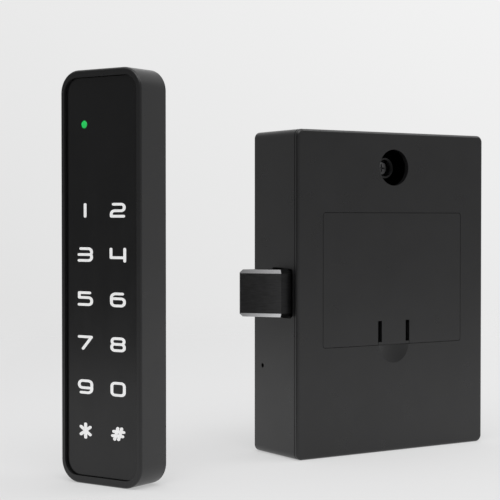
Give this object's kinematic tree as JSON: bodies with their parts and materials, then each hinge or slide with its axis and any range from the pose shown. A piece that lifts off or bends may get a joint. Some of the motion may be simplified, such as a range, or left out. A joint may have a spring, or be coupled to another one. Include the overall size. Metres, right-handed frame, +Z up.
{
  "type": "electronic cabinet lock",
  "caption": "Electronic cabinet lock: a flat black lock body with a sprung bevelled latch bolt and battery door, and a slim separate touch keypad with a status lamp.",
  "frame": {"origin": "middle of the lock body's base, on the surface that both units stand on", "axes": "+X along the lock body's width, away from the bolt; +Y from the battery door's face to the lock body's back; +Z up"},
  "size_m": [0.1556, 0.0528, 0.1205],
  "materials": {
    "housing_plastic": "fine semi-matt texture, black",
    "inner_plastic": "plain moulded, black",
    "keypad_plastic": "fine semi-matt texture, black",
    "bolt_metal": "dark nickel plate with polished edges",
    "sheet_steel": "zinc-plated sheet",
    "pin_steel": "ground steel",
    "screw_steel": "dark plated steel",
    "spring_steel": "bright drawn wire",
    "contact_nickel": "nickel-plated spring sheet",
    "cell_sleeve": "printed film sleeve, left plain",
    "gear_plastic": "natural acetal",
    "brass": "turned brass",
    "motor_case": "drawn steel can",
    "board_green": "solder mask",
    "chip_black": "moulded package",
    "capacitor_sleeve": "shrink sleeve",
    "button_plastic": "moulded button",
    "socket_plastic": "natural nylon",
    "panel_gloss": "polished black panel",
    "lens_green": "clear green light pipe",
    "diffuser": "milky sheet",
    "lamp_body": "moulded lamp body"
  },
  "bodies": {
    "lock_and_keypad": {"rear_housing": "housing_plastic", "front_cover": "housing_plastic", "battery_tray": "inner_plastic", "bolt_guide": "inner_plastic", "keypad_housing": "keypad_plastic", "keypad_back_plate": "keypad_plastic", "gear_plate": "sheet_steel", "spring_rod": "pin_steel", "output_gear_pin": "pin_steel", "reduction_gear_pin": "pin_steel", "fixing_screws": "screw_steel", "case_screws": "screw_steel", "guide_screws": "screw_steel", "gear_plate_screws": "screw_steel", "main_board_screws": "screw_steel", "back_plate_screws": "screw_steel", "battery_springs": "spring_steel", "battery_contacts": "contact_nickel", "lock_socket_pins": "contact_nickel", "keypad_socket_pins": "contact_nickel", "battery_cell_1": "cell_sleeve", "battery_cell_2": "cell_sleeve", "battery_cell_3": "cell_sleeve", "battery_cell_4": "cell_sleeve", "screw_inserts": "brass", "motor": "motor_case", "main_board": "board_green", "keypad_board": "board_green", "control_chip": "chip_black", "touch_chip": "chip_black", "buzzer": "chip_black", "reset_switch": "chip_black", "capacitor": "capacitor_sleeve", "lock_cable_socket": "socket_plastic", "keypad_cable_socket": "socket_plastic", "touch_panel": "panel_gloss", "indicator_lens": "lens_green", "light_guide": "diffuser", "key_lamps": "lamp_body", "status_lamp": "lamp_body"},
    "bolt": {"latch_bolt": "bolt_metal", "bolt_slider": "sheet_steel", "slider_screws": "screw_steel", "bolt_spring": "spring_steel"},
    "output_gear": {"output_gear": "gear_plastic"},
    "reduction_gear": {"reduction_gear": "gear_plastic"},
    "motor_rotor": {"motor_pinion": "brass", "motor_shaft": "pin_steel"},
    "door": {"battery_door": "housing_plastic", "battery_door_tongue": "housing_plastic"},
    "reset_button": {"reset_plunger": "button_plastic"}
  },
  "joints": [
    {"name": "bolt_slide", "type": "slide", "parent": "lock_and_keypad", "child": "bolt", "axis": [1, 0, 0], "range_m": [0, 0.012], "stiffness_N_per_m": 150, "springref_m": -0.008, "deforming": ["bolt_spring"]},
    {"name": "output_gear_spin", "type": "hinge", "parent": "lock_and_keypad", "child": "output_gear", "pos_m": [0.02, 0.003, 0.0432], "axis": [0, 1, 0], "range_deg": [0, 96]},
    {"name": "reduction_gear_spin", "type": "hinge", "parent": "lock_and_keypad", "child": "reduction_gear", "pos_m": [0.02, 0.006, 0.0324], "axis": [0, 1, 0], "range_deg": [-192, 0]},
    {"name": "motor_spin", "type": "hinge", "parent": "lock_and_keypad", "child": "motor_rotor", "pos_m": [0.01042, 0.006, 0.02518], "axis": [0, 1, 0], "range_deg": [0, 574]},
    {"name": "battery_door_hinge", "type": "hinge", "parent": "lock_and_keypad", "child": "door", "pos_m": [0, -0.0127, 0.0792], "axis": [-1, 0, 0], "range_deg": [0, 60], "deforming": ["battery_door_tongue"]},
    {"name": "reset_press", "type": "slide", "parent": "lock_and_keypad", "child": "reset_button", "axis": [1, 0, 0], "range_m": [0, 0.0004], "stiffness_N_per_m": 500}
  ],
  "couplings": [
    {"joint": "output_gear_spin", "follows": "bolt_slide", "rad_per_m": 138.89},
    {"joint": "reduction_gear_spin", "follows": "bolt_slide", "rad_per_m": -277.78},
    {"joint": "motor_spin", "follows": "bolt_slide", "rad_per_m": 833.33}
  ]
}
